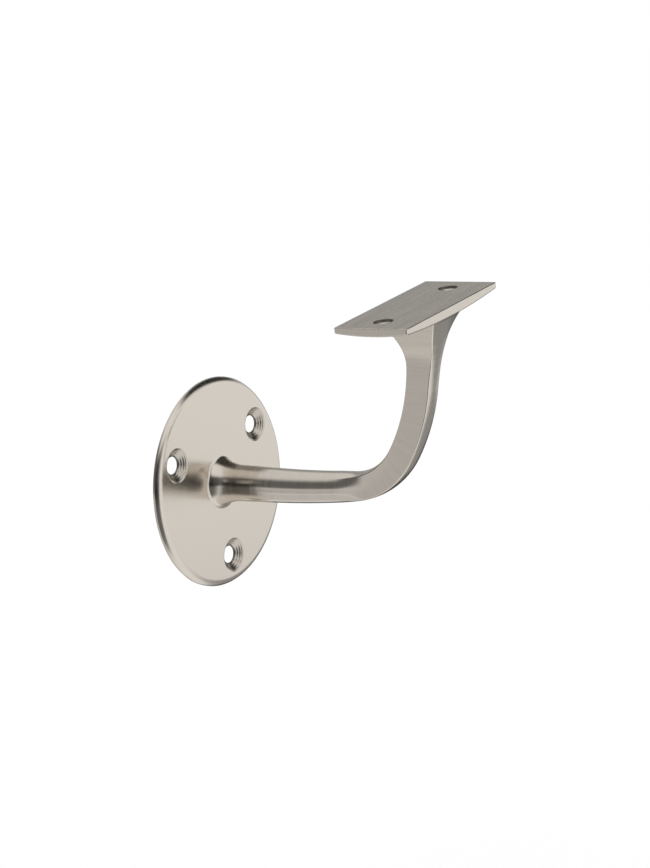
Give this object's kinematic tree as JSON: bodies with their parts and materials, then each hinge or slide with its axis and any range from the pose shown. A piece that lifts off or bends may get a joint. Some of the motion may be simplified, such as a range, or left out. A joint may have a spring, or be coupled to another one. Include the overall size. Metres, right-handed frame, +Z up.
{
  "type": "handrail bracket",
  "caption": "Wall handrail bracket: round screw-on rose, tapering arm that bends upwards into a flat-sided stem, and a rectangular saddle plate under the rail.",
  "frame": {"origin": "centre of the rose's back face, which lies against the wall", "axes": "+X out of the wall, +Y along the handrail, +Z up"},
  "size_m": [0.0902, 0.063, 0.0876],
  "materials": {
    "satin_nickel": "satin nickel plate"
  },
  "bodies": {
    "root": {"bracket_casting": "satin_nickel"}
  },
  "joints": []
}
